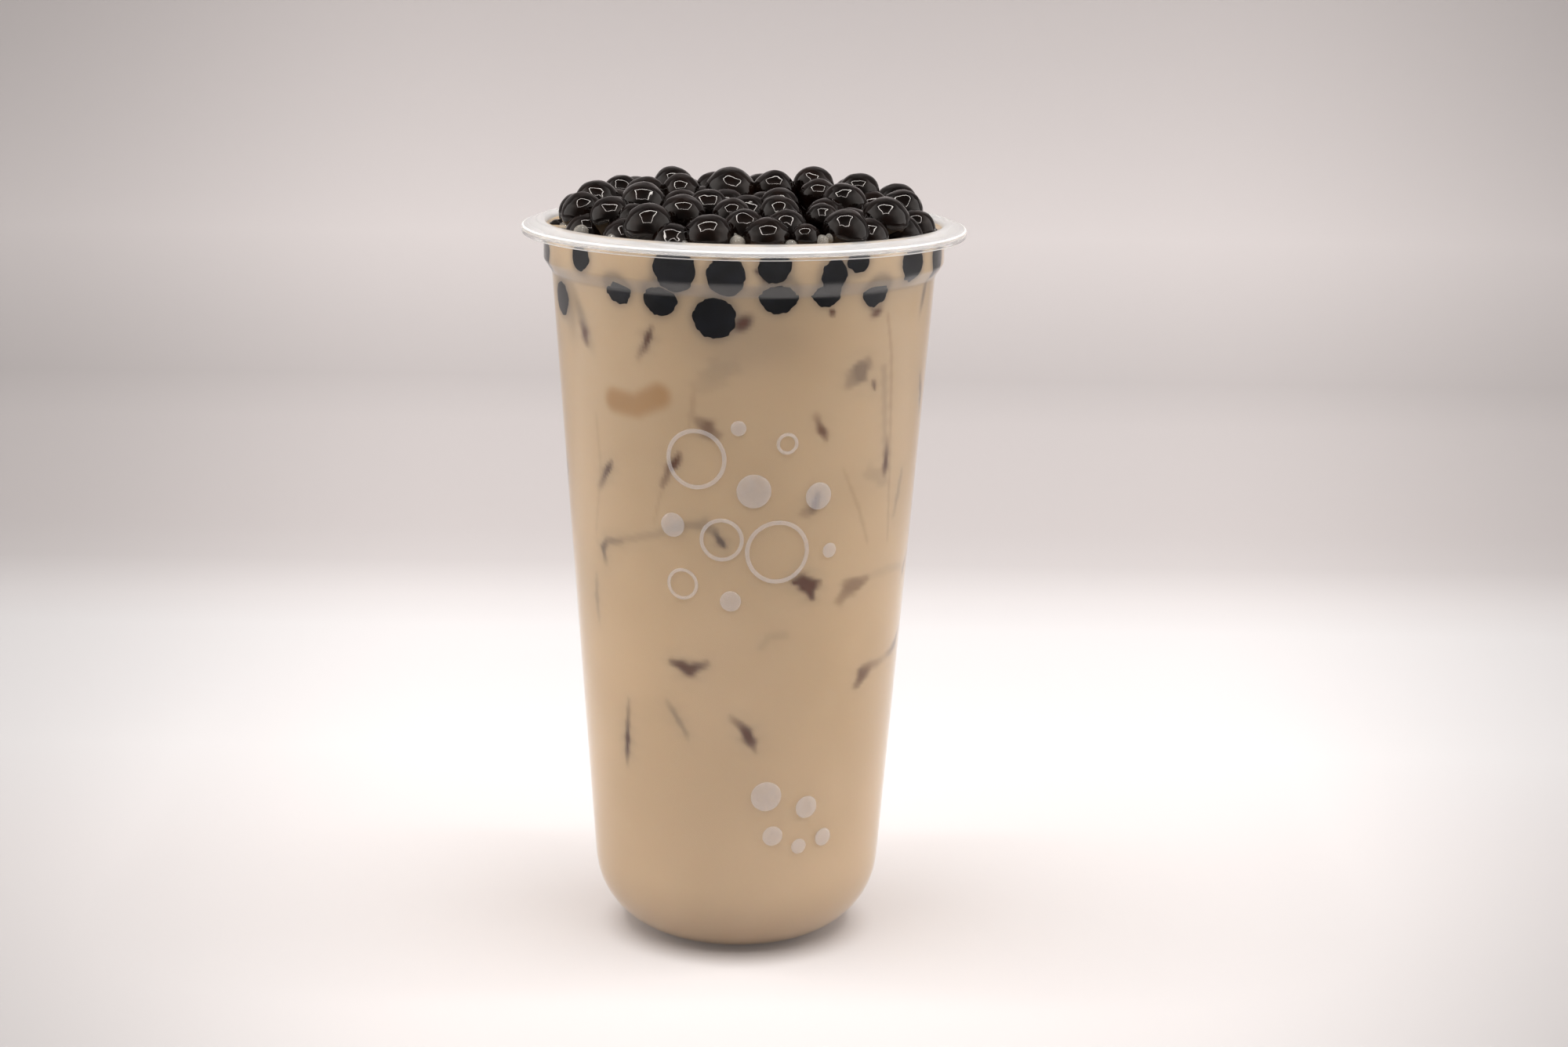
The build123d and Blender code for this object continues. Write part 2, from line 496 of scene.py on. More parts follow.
# Each has an outline that is torn a little, coarsely and finely.
sunk = []
for number, (turn, height, radius, flat) in enumerate(wall_pearls):
    middle = against_wall(turn, height, math.sqrt(radius**2 - flat**2))
    ball = make_pearl(200 + number, middle, radius)
    for vertex in ball.data.vertices:
        torn = 0.32 * noise.noise(vertex.co * 700) + 0.16 * noise.noise(vertex.co * 1600)
        vertex.co += (vertex.co / mm - middle).normalized() * torn * mm
    sunk.append(pressed(ball))
sunk_pearls = joined("wall_pearls", sunk)
bpy.data.objects.remove(plain_ball)

soaked, tree = new_material("sunk_tapioca")
place = node(tree, "ShaderNodeTexCoord", output=3)
mottle = node(tree, "ShaderNodeTexNoise", {}, {"Vector": place, "Scale": 300.0, "Detail": 3.0})
colour = mixed(tree, mottle.over(0.35, 0.75), (0.0015, 0.0018, 0.003), (0.005, 0.006, 0.010))
finish_material(
    tree,
    node(
        tree,
        "ShaderNodeBsdfPrincipled",
        {},
        {"Base Color": colour, "Roughness": 0.5, "Specular IOR Level": 0.1},
    ),
)
sunk_pearls.data.materials.append(soaked)
sunk_pearls.data.materials.append(tapioca)
for face in sunk_pearls.data.polygons:
    if face.center.z > (tea_level - 0.2) * mm:
        face.material_index = 1
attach(sunk_pearls, "root")

# ---- The ice ----------------------------------------------------------------------------------------
# Half-melted ice cubes, sunk in the tea. Where an edge, a corner or a face of one comes near the wall,
# the tea in front of it would be thin and the dark inside of the drink would show: there the tea's colour
# carries painted shade, a soft brown or grey mark.
ice_size = 18.0
ice_behind = 0.35
ice_edges = [
    # (painted grey shade, painted brown shade, [(turn from the front in degrees, height, half width,
    # strength), ...])
    (0.45, 0.80, [(-56, 138.2, 1.2, 0.3), (-55, 136.4, 1.2, 0.9), (-54.4, 134.8, 0.8, 0.5)]),
    (
        0.80, 0.70,
        [
            (-27.5, 139.8, 0.6, 0.3), (-29, 137.4, 0.7, 1.0),
            (-30, 135.6, 0.7, 0.5), (-32.6, 133.4, 0.8, 0.15),
        ],
    ),
    (0.16, 0.0, [(-12.6, 128.4, 2.2, 0.5), (-7.4, 131.4, 2.6, 1.0), (-2.8, 132.6, 2.0, 0.6)]),
    (0.25, 0.60, [(-12.8, 120.6, 1.4, 0.5), (-10.4, 119.6, 1.5, 1.0), (-8.2, 118.2, 1.3, 0.5)]),
    (
        0.70, 0.50,
        [
            (-45, 110.4, 0.5, 0.3), (-47, 108.4, 0.7, 1.0),
            (-50.4, 105.6, 0.8, 0.45), (-52.8, 103.2, 0.9, 0.1),
        ],
    ),
    (
        0.50, 0.90,
        [
            (-19.4, 113.6, 0.7, 0.5), (-21.2, 111.6, 0.9, 1.0),
            (-23.2, 110, 0.8, 0.5), (-25.6, 106.4, 0.6, 0.3),
        ],
    ),
    (
        0.20, 0.80,
        [
            (22.8, 122.2, 0.8, 0.2), (24, 120.4, 0.8, 0.6),
            (25.4, 118.6, 0.9, 1.0), (26.8, 117, 0.7, 0.4),
        ],
    ),
    (0.45, 0.25, [(34.6, 129, 1.8, 0.5), (38, 130.6, 2.1, 1.0), (40.4, 132.4, 1.5, 0.5)]),
    (0.50, 0.50, [(43.6, 127.8, 0.5, 0.8), (44, 126.8, 0.5, 0.8)]),
    (
        0.50, 0.90,
        [
            (25, 105.2, 0.6, 0.5), (24.2, 103.6, 0.8, 1.0),
            (23.6, 102, 0.9, 0.4), (21.6, 101.6, 1.6, 0.2),
        ],
    ),
    (0.60, 0.75, [(52.4, 115, 0.7, 0.2), (52.7, 110, 0.9, 0.9), (52.4, 107.8, 0.8, 0.5)]),
    (0.20, 0.0, [(47.8, 130.4, 1.1, 0.8), (50.4, 118.6, 1.1, 0.8), (53, 107, 1.0, 1.0)]),
    (0.18, 0.0, [(44.8, 108.6, 1.8, 0.7), (52, 106.6, 1.8, 1.0)]),
    (0.28, 0.0, [(63.8, 107, 0.8, 0.7), (62.4, 102, 0.9, 1.0), (60.6, 97.6, 0.8, 0.5)]),
    (0.50, 0.10, [(73, 126.4, 0.9, 0.5), (76, 122.4, 1.0, 1.0), (77, 118.4, 0.9, 0.4)]),
    (
        0.60, 0.10,
        [
            (-51.2, 87.8, 0.8, 0.3), (-52.2, 90.6, 0.8, 1.0),
            (-50, 92.6, 0.8, 0.6), (-42.4, 93.4, 0.8, 0.45),
        ],
    ),
    (
        0.34, 0.0,
        [
            (-42.4, 93.4, 0.9, 0.5), (-30.4, 95.6, 1.1, 0.5), (-19, 98.4, 1.1, 0.6),
            (-11.2, 99.2, 1.3, 0.9), (-8.2, 97.4, 1.0, 1.0),
        ],
    ),
    (0.80, 0.30, [(-8.2, 97.4, 0.8, 0.5), (-6.2, 95.4, 0.7, 1.0), (-5, 94.4, 0.5, 0.7)]),
    (
        0.65, 0.95,
        [
            (18, 86.6, 0.6, 0.8), (21.2, 86.6, 1.3, 1.0), (23.6, 85.2, 1.6, 1.0), (24.8, 83, 0.6, 0.7),
        ],
    ),
    (0.40, 0.90, [(21.2, 86.8, 1.2, 1.0), (24, 86.4, 1.0, 1.0), (27.4, 86.2, 0.6, 0.5)]),
    (
        0.05, 0.55,
        [
            (36, 81.4, 1.3, 0.5), (38.8, 84, 1.7, 0.8), (43, 84.4, 1.7, 1.0), (46.8, 85.2, 1.1, 0.6),
        ],
    ),
    (
        0.60, 0.85,
        [
            (-23.6, 68.6, 0.8, 0.5), (-20, 67.8, 1.1, 0.9), (-17.2, 67.2, 1.2, 1.0),
            (-13.8, 68, 1.0, 0.6), (-11, 69, 0.8, 0.3),
        ],
    ),
    (
        0.85, 0.60,
        [
            (-43, 58, 0.6, 0.15), (-44.2, 52.4, 0.6, 0.5), (-44.8, 48.6, 0.6, 1.0),
            (-45.4, 45.4, 0.6, 0.5), (-45.8, 43, 0.5, 0.1),
        ],
    ),
    (
        0.38, 0.0,
        [
            (-26, 59.6, 0.8, 0.4), (-23, 56.8, 0.8, 0.9), (-19, 53, 0.7, 0.7), (-18.2, 51.2, 0.6, 0.2),
        ],
    ),
    (
        0.50, 0.95,
        [
            (-2.6, 57.2, 0.8, 0.15), (1, 55.4, 0.9, 0.5), (3.4, 53.2, 1.2, 1.0),
            (5, 51.4, 1.0, 0.7), (6.2, 49.6, 0.6, 0.2),
        ],
    ),
    (0.28, 0.0, [(-57.4, 84, 0.8, 0.5), (-58.2, 79.4, 0.9, 1.0), (-57.8, 74, 0.8, 0.4)]),
    (0.14, 0.0, [(7.4, 72.8, 0.9, 0.8), (10, 74.6, 0.9, 1.0), (15.4, 75.2, 1.2, 0.8)]),
    (
        0.25, 0.70,
        [
            (47.2, 61.8, 1.2, 0.5), (49.4, 63.8, 1.4, 1.0), (55, 65, 1.2, 0.4),
            (64, 65.6, 1.0, 0.2), (75, 67, 1.0, 0.8), (78.6, 69.6, 0.8, 0.4),
        ],
    ),
    (0.30, 0.40, [(76, 83.4, 0.9, 0.9), (80, 86.4, 0.8, 0.5)]),
    (0.13, 0.0, [(48, 85.6, 1.0, 0.6), (60, 86, 1.0, 1.0), (73, 85, 1.0, 0.8)]),
    (0.55, 0.40, [(-80, 107, 0.8, 0.4), (-82, 104, 1.1, 1.0), (-83, 100, 0.7, 0.3)]),
    (0.50, 0.50, [(-94, 123, 0.7, 0.4), (-96, 120, 1.2, 1.0), (-98, 117, 0.8, 0.3)]),
    (0.35, 0.0, [(-85, 83, 0.8, 0.5), (-86, 79, 1.0, 1.0), (-86, 74, 0.8, 0.5)]),
    (
        0.0, 0.20,
        [
            (47.4, 142, 0.4, 1.0), (50.8, 133.6, 0.5, 1.0), (54, 115, 0.5, 1.0), (58, 92.4, 0.4, 0.6),
        ],
    ),
    (0.0, 0.15, [(33.8, 110, 0.5, 0.6), (41.4, 100.8, 0.5, 1.0), (46.4, 93.4, 0.5, 0.8)]),
    (0.05, 0.12, [(-14.6, 127, 0.6, 0.6), (-15.2, 122, 0.8, 1.0), (-16.4, 119, 0.5, 0.4)]),
    (0.0, 0.12, [(-24.4, 107.6, 0.4, 1.0), (-26.6, 104, 0.4, 1.0), (-28.8, 98.8, 0.4, 0.6)]),
    (0.0, 0.10, [(-51.6, 119.4, 0.5, 1.0), (-50.8, 107.6, 0.5, 1.0), (-56, 93.4, 0.5, 0.8)]),
]


def stray_edge(turn, height):
    """A mark of painted shade, of a chance length, lean and strength, about a place on the wall."""
    lean = math.radians(random.uniform(-75, 75))
    half = random.uniform(1.6, 6.0)
    wide = random.uniform(0.7, 1.4)
    bend = random.uniform(-0.25, 0.25) * half
    points = []
    for step in (-1, -0.4, 0.2, 0.7, 1):
        along = half * step
        aside = bend * step**2
        across = along * math.sin(lean) + aside * math.cos(lean)
        up = along * math.cos(lean) - aside * math.sin(lean)
        strength = max(0.12, 1 - 1.1 * abs(step - 0.2))
        place = turn + math.degrees(across / tea_edge(height))
        points.append((place, height + up, wide * (1 - 0.5 * abs(step)), strength))
    return (random.uniform(0.2, 0.8), random.choice((0, 0.3, 0.6, 0.9)), points)


for turn in range(110, 258, 16):
    for height in (130.0, 106.0, 82.0, 56.0):
        if random.random() < 0.8:
            place = turn + random.uniform(-9, 9)
            ice_edges.append(stray_edge(place, height + random.uniform(-11, 11)))

deselect()
bpy.ops.mesh.primitive_cube_add(size=2)
plain_cube = bpy.context.object
bpy.ops.object.mode_set(mode="EDIT")
bpy.ops.mesh.bevel(offset=0.24, segments=4, affect="EDGES")
bpy.ops.mesh.subdivide(number_cuts=3)
bpy.ops.object.mode_set(mode="OBJECT")
facing = {
    "face": Matrix.Identity(3),
    "edge": Matrix.Rotation(math.radians(45), 3, "Z"),
    "corner": Matrix.Rotation(math.radians(35.26), 3, "Y") @ Matrix.Rotation(math.radians(45), 3, "Z"),
}


def make_ice(number, turn, height, lean, feature):
    """A melted cube whose edge, face or corner lies just behind the tea's edge, in millimetres."""
    cube = plain_cube.copy()
    cube.data = plain_cube.data.copy()
    bpy.context.scene.collection.objects.link(cube)
    spot = Vector((number * 2.3, number * 4.1, number * 1.7))
    stand = Matrix.Rotation(math.radians(turn - 90), 3, "Z")
    stand = stand @ Matrix.Rotation(math.radians(-lean), 3, "X")
    stand = stand @ Matrix.Rotation(math.radians(9 * uneven(number)), 3, "Y") @ facing[feature]
    shaped = []
    for vertex in cube.data.vertices:
        way = vertex.co.normalized()
        melt = 1 + 0.09 * noise.noise(way * 1.2 + spot) + 0.03 * noise.noise(way * 3.0 + spot)
        shaped.append(stand @ (vertex.co * melt * ice_size / 2))
    outwards = against_wall(turn, height, 0) - against_wall(turn, height, 1)
    furthest = max(point.dot(outwards) for point in shaped)
    middle = against_wall(turn, height, furthest + ice_behind)
    for vertex, point in zip(cube.data.vertices, shaped):
        vertex.co = (middle + point) * mm
    return pressed(cube, -ice_behind)


features = ["edge", "edge", "corner", "edge", "face"]
cubes = []
for number in range(0, len(ice_edges), 3):
    points = ice_edges[number][2]
    turn, height = points[len(points) // 2][:2]
    across = math.radians(points[-1][0] - points[0][0]) * tea_edge(height)
    lean = math.degrees(math.atan2(across, points[-1][1] - points[0][1]))
    cubes.append(make_ice(number, turn, height, lean, features[number % len(features)]))
ice = joined("ice", cubes)
bpy.data.objects.remove(plain_cube)

# The ice is coloured a mottled dark brown: painted shade, standing for the dark drink seen through clear
# ice.
ice_in_painted_shade, tree = new_material("ice")
place = node(tree, "ShaderNodeTexCoord", output=3)
cloud = node(tree, "ShaderNodeTexNoise", {}, {"Vector": place, "Scale": 120.0, "Detail": 3.0})
colour = mixed(tree, cloud.over(0.35, 0.65), (0.045, 0.024, 0.016), (0.13, 0.075, 0.048))
finish_material(
    tree,
    node(
        tree,
        "ShaderNodeBsdfPrincipled",
        {},
        {"Base Color": colour, "Roughness": 0.4, "Specular IOR Level": 0.15},
    ),
)
ice.data.materials.append(ice_in_painted_shade)
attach(ice, "root")

# ---- The milk tea ---------------------------------------------------------------------------------
# Opaque milky tea that fills the cup nearly to its brim. It wets the plastic, so its sides reach a hair
# into the wall. Near the pearls and the ice at the wall its colour carries painted shade, grey and brown,
# where they would show dimly through thin tea.
wobble_size = 0.2
fullness = 1.25
# Each painted shade stroke spreads into a wider, fainter painted shade.
shade_spread_width = 1.3
shade_spread_share = 0.30
# Painted shade that darkens the tea towards its top.
painted_top_shade = 0.13
painted_top_shade_from = 66.0
painted_top_shade_rise = 60.0
# Painted shade round each pearl at the wall.
shade_halos = [
    # (strength, width, sharpness)
    (0.40, 0.9, 1.5),
    (0.04, 4.0, 2),
]
# Soft marks of painted shade in the tea's colour, grey and brown: a broad one at the front under the rim
# and smaller ones about the pearls at the wall.
painted_shade_marks = [
    # (turn from the front in degrees, height, lean from upright, half length, half width, grey shade,
    # brown shade)
    (2, 138.0, 0, 7.0, 14.0, 0.14, 0.06),
    (-56, 139.6, -26, 6.0, 1.6, 0.36, 0.0),
    (-64, 142.6, -10, 8.0, 3.4, 0.30, 0.0),
    (68, 144.6, 16, 3.6, 0.9, 0.60, 0.1),
    (26.5, 143.5, 0, 0.7, 0.7, 0.60, 0.9),
    (0.0, 141.6, 50, 2.0, 1.3, 0.85, 0.85),
    (42.6, 142.7, 70, 1.5, 0.8, 0.45, 0.9),
    (40.5, 144.6, -10, 1.6, 0.7, 0.35, 0.2),
    (3.6, 152.4, 0, 0.6, 0.6, 0.8, 0.4),
    (5.6, 151.2, 0, 0.7, 0.7, 0.8, 0.4),
]
tea = lathe("tea", tea_line, 400)
count = len(tea.data.vertices)
spots = np.empty(count * 3)
tea.data.vertices.foreach_get("co", spots)
spots = spots.reshape(-1, 3) / mm
turns = np.degrees(np.arctan2(spots[:, 0], -spots[:, 1]))
outs = np.hypot(spots[:, 0], spots[:, 1])
shade = np.zeros(count)
brown_shade = np.zeros(count)
stroke_shade = np.zeros(count)
for turn, height, lean, long, wide, grey, brown_amount in painted_shade_marks:
    across = np.radians((turns - turn + 180) % 360 - 180) * tea_edge(height)
    up = spots[:, 2] - height
    lean = math.radians(lean)
    along = up * math.cos(lean) + across * math.sin(lean)
    aside = across * math.cos(lean) - up * math.sin(lean)
    mark = np.exp(-(((along / long) ** 2 + (aside / wide) ** 2) ** 1.25))
    shade = 1 - (1 - shade) * (1 - mark * grey)
    brown_shade = np.maximum(brown_shade, mark * brown_amount)

# The same strokes that place the ice are drawn on the tea as painted shade, and one more: a patch of
# amber syrup.
syrup_patch = [(-42.5, 123.6, 2.7, 0.75), (-34, 123.0, 2.6, 0.70), (-26, 125.6, 2.8, 0.75)]
syrup = np.zeros(count)
wobble = 1 + wobble_size * np.sin(1.9 * spots[:, 2] + 1.3 * np.sin(0.45 * turns))
for grey, brown, points in ice_edges + [(0, 0, syrup_patch)]:
    for first, last in zip(points, points[1:]):
        across = np.radians((turns - first[0] + 180) % 360 - 180) * tea_edge(first[1])
        up = spots[:, 2] - first[1]
        step_across = math.radians(last[0] - first[0]) * tea_edge(first[1])
        step_up = last[1] - first[1]
        along = (across * step_across + up * step_up) / (step_across**2 + step_up**2)
        along = np.clip(along, 0, 1)
        away = np.hypot(across - along * step_across, up - along * step_up)
        if points is not syrup_patch:
            away = away * wobble
        wide = first[2] + (last[2] - first[2]) * along
        strength = first[3] + (last[3] - first[3]) * along
        mark = strength * np.exp(-((away / wide) ** (1.6 + wide)))
        # Round each stroke, a wider and fainter painted shade.
        glow = strength * np.exp(-((away / (wide + shade_spread_width)) ** 2))
        full = np.minimum(fullness * mark, 1)
        stroke_shade = np.maximum(stroke_shade, full * grey)
        stroke_shade = np.maximum(stroke_shade, shade_spread_share * glow * grey)
        brown_shade = np.maximum(brown_shade, full * brown)
        if points is syrup_patch:
            syrup = np.maximum(syrup, mark)
shade = 1 - (1 - shade) * (1 - stroke_shade)

# Round each pearl at the wall the tea is painted dimmer: painted shade in a narrow halo and a faint wide
# one.
for turn, height, radius, flat in wall_pearls:
    across = np.radians((turns - turn + 180) % 360 - 180) * tea_edge(height)
    away = np.maximum(np.hypot(across, spots[:, 2] - height) - flat, 0)
    halo = sum(most * np.exp(-((away / wide) ** power)) for most, wide, power in shade_halos)
    shade = 1 - (1 - shade) * (1 - halo)

# Painted shade: the tea is a little darker towards the top. Its own top surface, between the pearls, has
# no marks.
climb = np.clip((spots[:, 2] - painted_top_shade_from) / painted_top_shade_rise, 0, 1)
shade = 1 - (1 - shade) * (1 - painted_top_shade * climb)
shade[(spots[:, 2] > tea_level - 0.1) & (outs < mouth_radius - 2)] = 0
tint = np.zeros((count, 4))
tint[:, 0] = shade
tint[:, 1] = brown_shade
tint[:, 2] = syrup
tint[:, 3] = 1
layer = tea.data.color_attributes.new("showing_through", "FLOAT_COLOR", "POINT")
layer.data.foreach_set("color", tint.ravel())

milky, tree = new_material("milk_tea")
place = node(tree, "ShaderNodeTexCoord", output=3)
cloud = node(tree, "ShaderNodeTexNoise", {}, {"Vector": place, "Scale": 28.0, "Detail": 3.0})
cream = mixed(tree, cloud.over(0.35, 0.65), (0.615, 0.447, 0.278), (0.662, 0.486, 0.308))
through = node(tree, "ShaderNodeAttribute", {"attribute_name": "showing_through"})
# The first two channels are painted shade, grey and brown, over the cream; the third is the syrup's
# amber.
depth = node(tree, "ShaderNodeSeparateColor", {}, [through], output=0)
brown_shade = node(tree, "ShaderNodeSeparateColor", {}, [through], output=1)
darkened = mixed(tree, depth, cream, (0.040, 0.046, 0.058))
colour = mixed(tree, brown_shade, darkened, (0.120, 0.042, 0.022))
amber = node(tree, "ShaderNodeSeparateColor", {}, [through], output=2)
colour = mixed(tree, amber, colour, (0.40, 0.22, 0.085))
finish_material(
    tree,
    node(
        tree,
        "ShaderNodeBsdfPrincipled",
        {},
        {
            "Base Color": colour,
            "Roughness": 0.25,
            "IOR": 1.35,
            "Subsurface Weight": 0.2,
            "Subsurface Radius": (0.003, 0.0022, 0.0014),
            "Subsurface Scale": 1.0,
        },
    ),
)
tea.data.materials.append(milky)
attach(tea, "root")
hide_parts("milk_tea")

# ---- The films of tea -------------------------------------------------------------------------------
# Small films and bubbles of milky tea that cling between the pearls at the edge of the heap, where
# the tea wets them.
foam_spots = [
    # (to the right, back, height over the tea, radius)
    (-15.4, -36.4, 1.0, 1.9),
    (-12.6, -37.4, 0.7, 1.5),
    (-1.4, -37.2, 1.2, 1.7),
    (-2.2, -34.6, 1.8, 1.3),
    (9.4, -37.6, 0.8, 1.4),
    (15.6, -35.8, 1.6, 1.5),
    (17.4, -34.2, 2.2, 1.1),
    (27.6, -28.0, 1.4, 1.6),
    (-26.6, -31.4, 0.8, 1.5),
    (-33.6, -23.6, 1.4, 1.6),
    (-36.8, -14.0, 0.5, 2.2),
    (34.8, -12.6, 0.6, 1.8),
    (12.4, 33.0, 0.6, 2.0),
    (-30.0, 24.0, 0.6, 2.0),
]
deselect()
bpy.ops.mesh.primitive_ico_sphere_add(subdivisions=3, radius=1)
plain_ball = bpy.context.object
foam = joined(
    "foam",
    [
        make_pearl(400 + number, Vector((x, y, tea_level + up)), radius)
        for number, (x, y, up, radius) in enumerate(foam_spots)
    ],
)
bpy.data.objects.remove(plain_ball)
film, tree = new_material("milky_film")
finish_material(
    tree,
    node(
        tree,
        "ShaderNodeBsdfPrincipled",
        {},
        {"Base Color": (0.74, 0.68, 0.60), "Roughness": 0.08, "Alpha": 0.26},
    ),
)
foam.data.materials.append(film)
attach(foam, "root")

# ---- The print --------------------------------------------------------------------------------------
# Plain rings and dots of thin white ink, screen-printed on the outside of the wall like rising
# bubbles.
ink_thickness = 0.04
bubbles = [
    # (turn in degrees, height, radius, line width: 0 for a filled dot)
    (-14, 113.0, 6.4, 0.9),
    (4, 106.5, 3.6, 0.0),
    (14, 116.5, 2.3, 0.7),
    (-1, 119.8, 1.6, 0.0),
    (-22, 98.6, 2.6, 0.0),
    (-6, 96.0, 4.6, 0.8),
    (12, 93.4, 6.8, 0.9),
    (25, 105.0, 2.9, 0.0),
    (30, 93.0, 1.6, 0.0),
    (-19, 86.0, 3.4, 0.7),
    (-3, 82.8, 2.2, 0.0),
    (10.7, 39.3, 3.3, 0.0),
    (26.7, 36.1, 2.5, 0.0),
    (13.6, 30.2, 2.2, 0.0),
    (24.3, 27.3, 1.7, 0.0),
    (34.9, 28.5, 2.0, 0.0),
]
shapes = []
for turn, height, radius, line in bubbles:
    deselect()
    inner = radius - line if line else radius * 0.2
    fill = "NOTHING" if line else "NGON"
    bpy.ops.mesh.primitive_circle_add(vertices=48, radius=inner, fill_type=fill)
    shape = bpy.context.object
    bpy.ops.object.mode_set(mode="EDIT")
    bpy.ops.mesh.select_mode(type="EDGE")
    rings = max(1, round((radius - inner) / 0.6))
    for ring in range(rings):
        size = (inner + (radius - inner) * (ring + 1) / rings) / (inner + (radius - inner) * ring / rings)
        bpy.ops.mesh.select_all(action="DESELECT")
        bpy.ops.object.mode_set(mode="OBJECT")
        edge_now = max(v.co.length for v in shape.data.vertices) - 1e-4
        for edge in shape.data.edges:
            edge.select = all(shape.data.vertices[v].co.length > edge_now for v in edge.vertices)
        bpy.ops.object.mode_set(mode="EDIT")
        bpy.ops.mesh.extrude_edges_move()
        bpy.ops.transform.resize(value=(size, size, 1))
    bpy.ops.mesh.select_all(action="SELECT")
    bpy.ops.mesh.normals_make_consistent(inside=False)
    bpy.ops.mesh.extrude_region_move(TRANSFORM_OT_translate={"value": (0, 0, ink_thickness)})
    bpy.ops.mesh.select_all(action="SELECT")
    bpy.ops.mesh.normals_make_consistent(inside=False)
    bpy.ops.object.mode_set(mode="OBJECT")
    for vertex in shape.data.vertices:
        up = height + vertex.co.y
        out = wall_radius(up) + 0.01 + vertex.co.z
        angle = math.radians(turn - 90) + vertex.co.x / wall_radius(height)
        vertex.co = Vector((out * math.cos(angle), out * math.sin(angle), up)) * mm
    shapes.append(shape)
ink_marks = joined("print", shapes)

ink, tree = new_material("white_ink")
place = node(tree, "ShaderNodeTexCoord", output=3)
grain = node(tree, "ShaderNodeTexNoise", {}, {"Vector": place, "Scale": 700.0, "Detail": 2.0})
cover = grain.over(0.3, 0.7, 0.21, 0.26)
finish_material(
    tree,
    node(
        tree,
        "ShaderNodeBsdfPrincipled",
        {},
        {"Base Color": (0.86, 0.80, 0.78), "Roughness": 0.5, "Alpha": cover},
    ),
)
ink_marks.data.materials.append(ink)
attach(ink_marks, "root")

# ---- The stage ------------------------------------------------------------------------------------
# A pale sweep of floor and backdrop, a soft grey room, and a square of lamp strips overhead, as in a
# light tent.
deselect()
bpy.ops.mesh.primitive_plane_add(size=1, location=(0, 0, 0))
sweep = bpy.context.object
sweep.name = "sweep"
bpy.ops.object.mode_set(mode="EDIT")
bpy.ops.transform.resize(value=(3.0, 1.5, 1))
bpy.ops.transform.translate(value=(0, -0.35, 0))
bpy.ops.mesh.select_all(action="DESELECT")
bpy.ops.object.mode_set(mode="OBJECT")
for edge in sweep.data.edges:
    edge.select = all(sweep.data.vertices[v].co.y > 0.3 for v in edge.vertices)
bpy.ops.object.mode_set(mode="EDIT")
bpy.ops.mesh.select_mode(type="EDGE")
bend_radius = 0.25
bend_steps = 12
length = bend_radius * math.radians(90) / bend_steps
for step in range(bend_steps):
    angle = math.radians(90) * (step + 0.5) / bend_steps
    shift = (0, length * math.cos(angle), length * math.sin(angle))
    bpy.ops.mesh.extrude_region_move(TRANSFORM_OT_translate={"value": shift})
bpy.ops.mesh.extrude_region_move(TRANSFORM_OT_translate={"value": (0, 0, 1.2)})
bpy.ops.object.mode_set(mode="OBJECT")
bpy.ops.object.shade_smooth()
backdrop, tree = new_material("pale_sweep")
place = node(tree, "ShaderNodeTexCoord", output=3)
x = node(tree, "ShaderNodeSeparateXYZ", {}, [place], output=0)
y = node(tree, "ShaderNodeSeparateXYZ", {}, [place], output=1)
z = node(tree, "ShaderNodeSeparateXYZ", {}, [place], output=2)
# The tones along the sweep are painted light and shade: darker on the near floor, palest behind the cup,
# darker where it bends up, with a paler band above.
tones = [
    # (distance back along the sweep, then up it; how pale; how much greyer than pink)
    (-0.10, 0.54, 0.3),
    (0.05, 0.765, 0.3),
    (0.13, 0.87, 0.5),
    (0.26, 0.89, 0.5),
    (0.30, 0.84, 0.3),
    (0.35, 0.73, 0.1),
    (0.42, 0.71, 0),
    (0.52, 0.68, 0),
    (0.56, 0.615, 0),
    (0.60, 0.66, 0),
    (0.67, 0.76, 0),
    (0.76, 0.67, 0),
    (0.82, 0.61, 0),
]
pink = Vector((1, 0.925, 0.905))
stops = [
    (back + 0.1, tuple(pink.lerp(Vector((1, 1, 1)), grey) * tone)) for back, tone, grey in tones
]
bands = node(tree, "ShaderNodeValToRGB", {"stops": stops}, [y + z + 0.1])
# The sweep is painted darker towards both sides of the view. Round the cup a painted pool of light makes
# it a little paler, and a painted shadow darkens it again under the foot.
away = y.maths("MAXIMUM", -0.1) + 0.72
painted_side_shade = (x.maths("DIVIDE", away) - 0.027).maths("ABSOLUTE").over(0.11, 0.29, 0.0, 0.30)
out = (x * x + y * y).maths("SQRT")
painted_light_pool = out.over(0.05, 0.26, 0.13, 0.0)
painted_foot_shadow = out.over(0.020, 0.032, 0.45, 0.0)
tone = mixed(tree, painted_side_shade, bands, (0, 0, 0))
tone = mixed(tree, painted_light_pool, tone, (1.6, 1.5, 1.45))
tone = mixed(tree, painted_foot_shadow, tone, (0.20, 0.15, 0.12))
# The near floor throws less light back at the cup than its own paleness would.
seen = node(tree, "ShaderNodeLightPath", output=0)
passed = node(tree, "ShaderNodeLightPath", output=6)
glossy = node(tree, "ShaderNodeLightPath", output=3)
in_view = (seen + passed).maths("MINIMUM", 1.0)
unlit = (y + z).over(-0.36, -0.16, 0.8, 0.0) * (1 - in_view)
paper = node(tree, "ShaderNodeBsdfDiffuse", {}, {"Color": mixed(tree, unlit, tone, (0, 0, 0))})
glow = node(tree, "ShaderNodeEmission", {}, {"Color": tone, "Strength": 0.10})
none = node(tree, "ShaderNodeEmission", {}, {"Strength": 0.0})
glowing = (in_view + glossy).maths("MINIMUM", 1.0)
seen_glow = node(tree, "ShaderNodeMixShader", {}, [glowing, none, glow])
finish_material(tree, node(tree, "ShaderNodeAddShader", {}, [paper, seen_glow]))
sweep.data.materials.append(backdrop)

